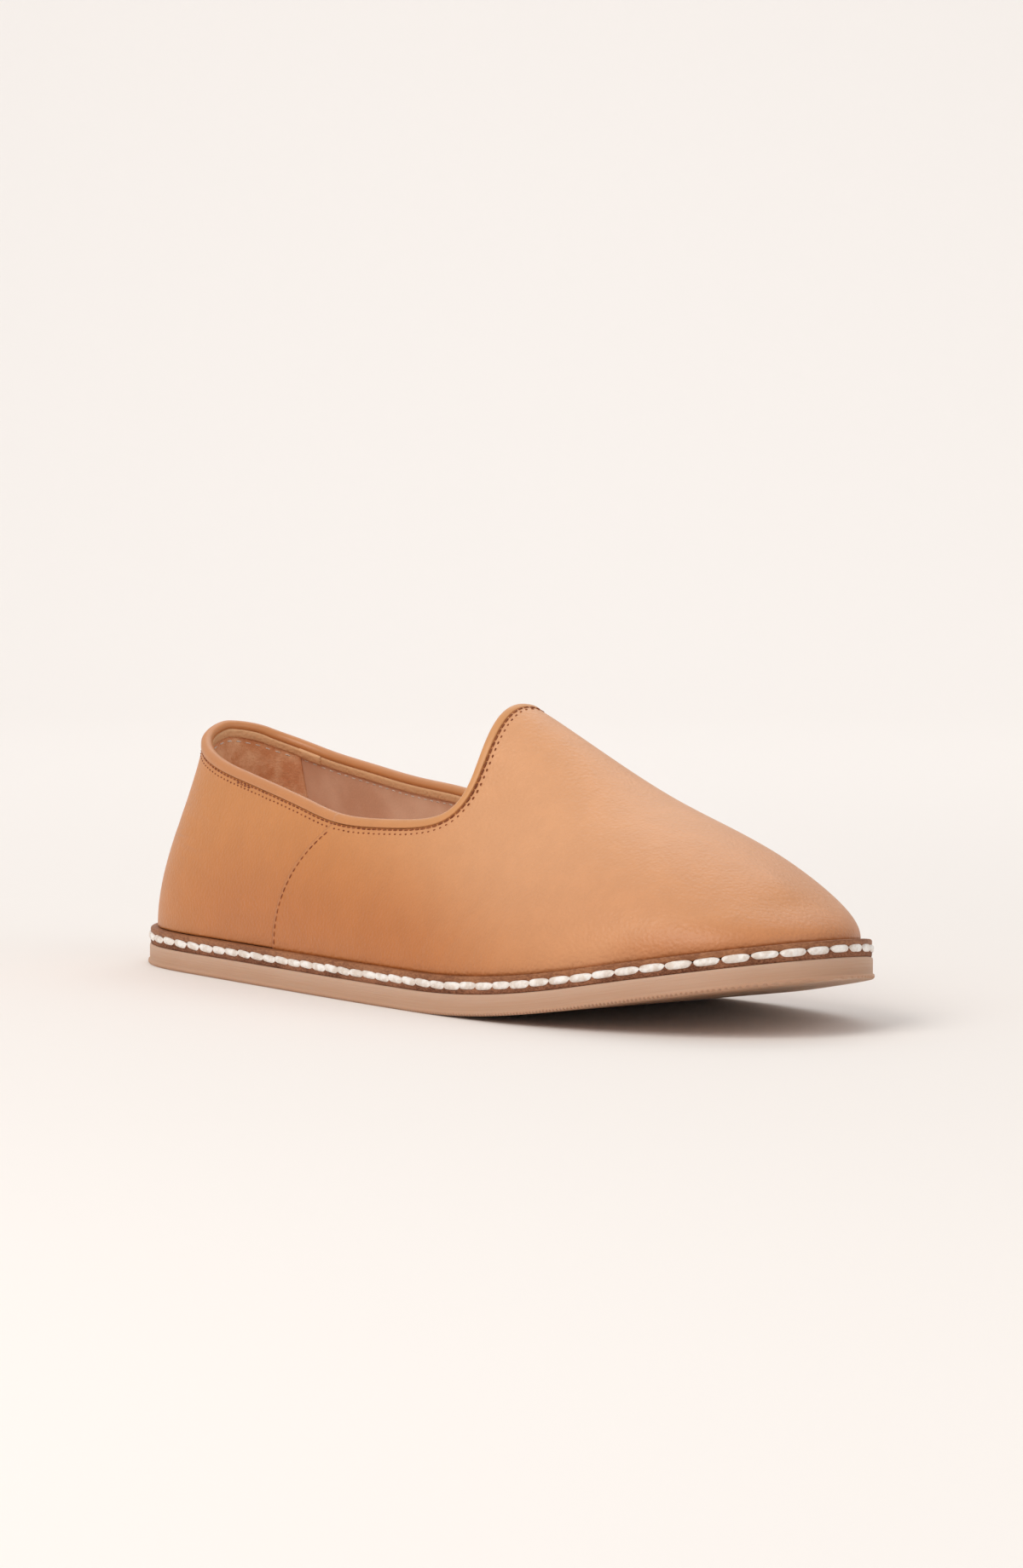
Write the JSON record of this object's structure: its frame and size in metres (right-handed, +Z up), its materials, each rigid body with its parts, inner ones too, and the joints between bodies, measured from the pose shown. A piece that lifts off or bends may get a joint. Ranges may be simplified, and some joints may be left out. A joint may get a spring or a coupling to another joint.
{
  "type": "babouche slipper",
  "caption": "Right leather babouche slipper with a raised rounded throat, a bound collar, a stitched leather edge and a flat rubber sole",
  "frame": {"origin": "on the ground, under the middle of the slipper's length and width", "axes": "+X towards the toe, +Y to the wearer's left (the inner side of this right slipper), +Z up"},
  "size_m": [0.27, 0.0888, 0.0789],
  "materials": {
    "sole_rubber": "honey-coloured moulded rubber, slightly translucent, with fine lines along its side",
    "edge_leather": "brown cut leather edge, waxed above and fibrous below",
    "lining_leather": "matt greige lining leather",
    "upper_leather": "smooth tan leather with a fine grain and a soft satin sheen",
    "binding_leather": "thin tan leather folded over the cut edge"
  },
  "bodies": {
    "root": {"outsole": "sole_rubber", "midsole": "edge_leather", "welt": "edge_leather", "insole": "lining_leather", "upper": "upper_leather", "collar_binding": "binding_leather"}
  },
  "joints": []
}
